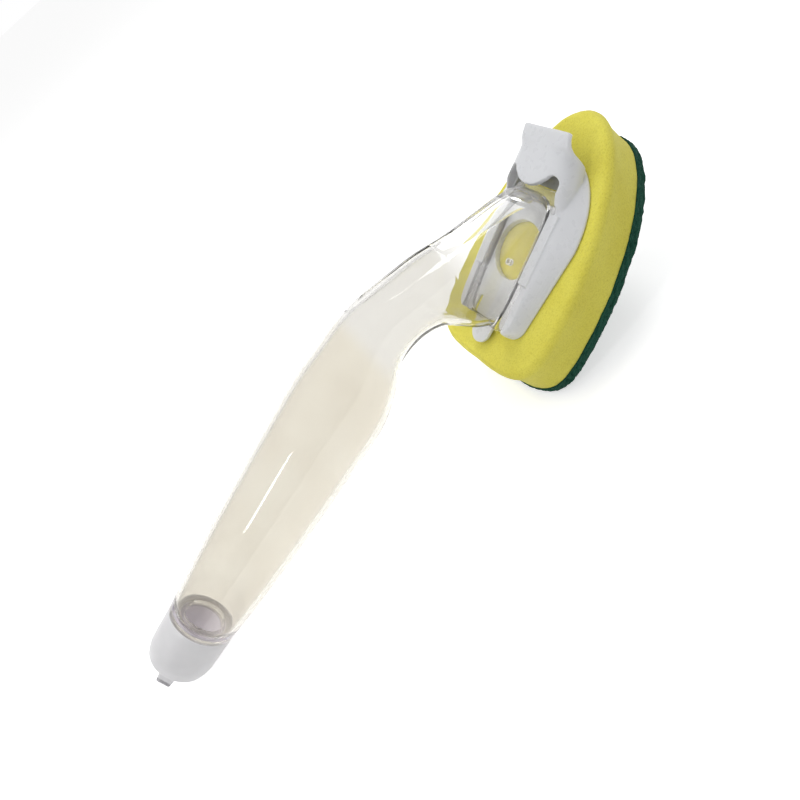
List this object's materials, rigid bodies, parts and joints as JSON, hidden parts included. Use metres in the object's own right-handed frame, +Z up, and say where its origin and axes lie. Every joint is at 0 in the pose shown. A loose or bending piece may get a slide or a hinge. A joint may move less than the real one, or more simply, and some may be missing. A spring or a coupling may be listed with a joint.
{
  "type": "dish wand",
  "caption": "Soap-filled dish wand: clear hollow handle with a screw cap at one end and a slide-on sponge head with a scouring face at the other.",
  "frame": {"origin": "centre of the bounding box on the ground under the resting wand", "axes": "+Z up, +X from the cap towards the sponge head, +Y across, to the left when looking along +X"},
  "size_m": [0.2592, 0.06, 0.0722],
  "materials": {
    "clear_plastic": "clear moulded plastic, tinted warm by the soap inside",
    "cap_plastic": "smooth white moulded plastic",
    "seal_plastic": "soft pale liner",
    "base_plastic": "satin white moulded plastic",
    "foam": "yellow foam with fine pores",
    "scourer": "dark green non-woven scouring fibre"
  },
  "bodies": {
    "handle_body": {"handle": "clear_plastic"},
    "seal_body": {"cap_seal": "seal_plastic"},
    "cap_body": {"screw_cap": "cap_plastic"},
    "head_body": {"head_base": "base_plastic", "foam_sponge": "foam", "scouring_pad": "scourer"},
    "tongue_body": {"release_tongue": "base_plastic"}
  },
  "joints": [
    {"name": "cap_travel", "type": "slide", "parent": "handle_body", "child": "seal_body", "axis": [-0.9498, 0, -0.3128], "range_m": [0, 0.024]},
    {"name": "cap_turn", "type": "hinge", "parent": "seal_body", "child": "cap_body", "pos_m": [-0.09838, 0, 0.01724], "axis": [-0.9498, 0, -0.3128], "range_deg": [0, 2881]},
    {"name": "head_slide", "type": "slide", "parent": "handle_body", "child": "head_body", "axis": [0.8551, 0, 0.5184], "range_m": [0, 0.06]},
    {"name": "tongue_bend", "type": "hinge", "parent": "head_body", "child": "tongue_body", "pos_m": [0.06061, 0, 0.03282], "axis": [0, -1, 0], "range_deg": [0, 4.5], "stiffness_Nm_per_rad": 0.3}
  ],
  "couplings": [
    {"joint": "cap_turn", "follows": "cap_travel", "rad_per_m": 2094.4}
  ]
}
